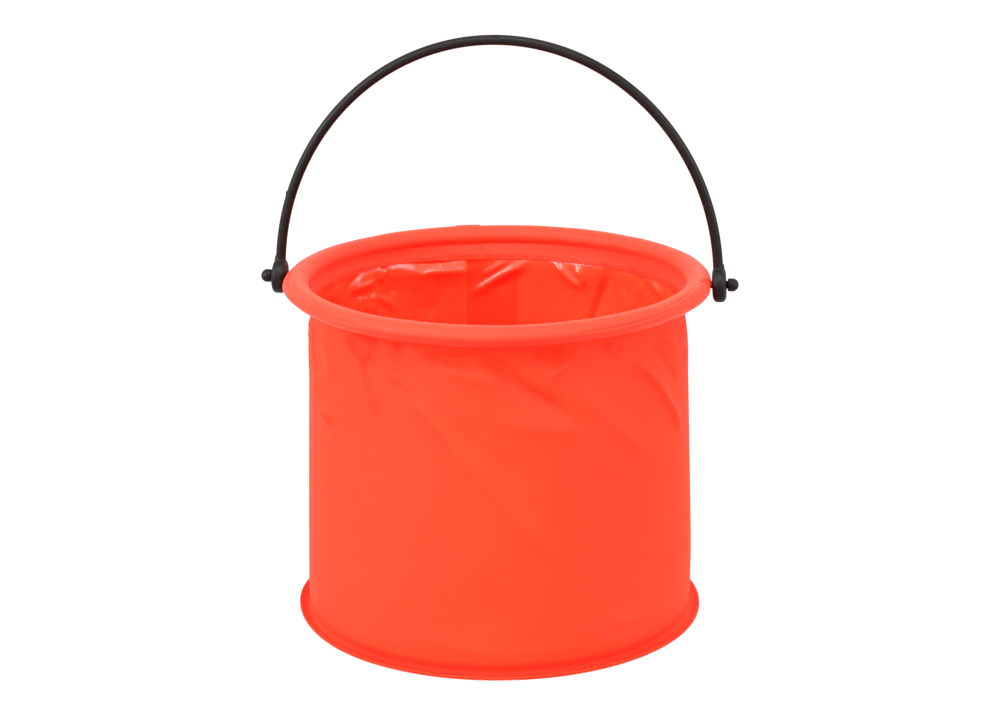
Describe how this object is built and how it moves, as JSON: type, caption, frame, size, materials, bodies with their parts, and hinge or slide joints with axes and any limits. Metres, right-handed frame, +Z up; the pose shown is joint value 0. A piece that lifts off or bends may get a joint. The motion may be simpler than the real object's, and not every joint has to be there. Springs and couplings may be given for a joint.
{
  "type": "folding bucket",
  "caption": "Folding bucket of coated fabric with a rolled rigid rim, a welded lip round its base and a swinging bail handle.",
  "frame": {"origin": "on the floor, under the middle of the bucket", "axes": "+Z up along the bucket's axis; the handle's two pivots lie along X; -Y is the front"},
  "size_m": [0.2968, 0.263, 0.3643],
  "materials": {
    "body_fabric": "red-orange coated cloth, matte and finely woven outside, glossy inside",
    "hem_fabric": "red-orange coated cloth, matte with a visible fine weave",
    "hoop_plastic": "natural extruded plastic, hidden inside the hem",
    "black_plastic": "black moulded plastic with a soft sheen"
  },
  "bodies": {
    "base": {"base_panel": "body_fabric", "wall_panel": "body_fabric", "wall_seam_tape": "body_fabric"},
    "rim": {"rim_hoop": "hoop_plastic", "hoop_joiner": "hoop_plastic", "rim_sleeve": "hem_fabric", "left_stud": "black_plastic", "right_stud": "black_plastic"},
    "handle": {"handle": "black_plastic"}
  },
  "joints": [
    {"name": "collapse", "type": "slide", "parent": "base", "child": "rim", "axis": [0, 0, -1], "range_m": [0, 0.14], "deforming": ["wall_panel", "wall_seam_tape"]},
    {"name": "handle_swing", "type": "hinge", "parent": "rim", "child": "handle", "pos_m": [0, 0, 0.2122], "axis": [1, 0, 0], "range_deg": [-117, 117]}
  ]
}
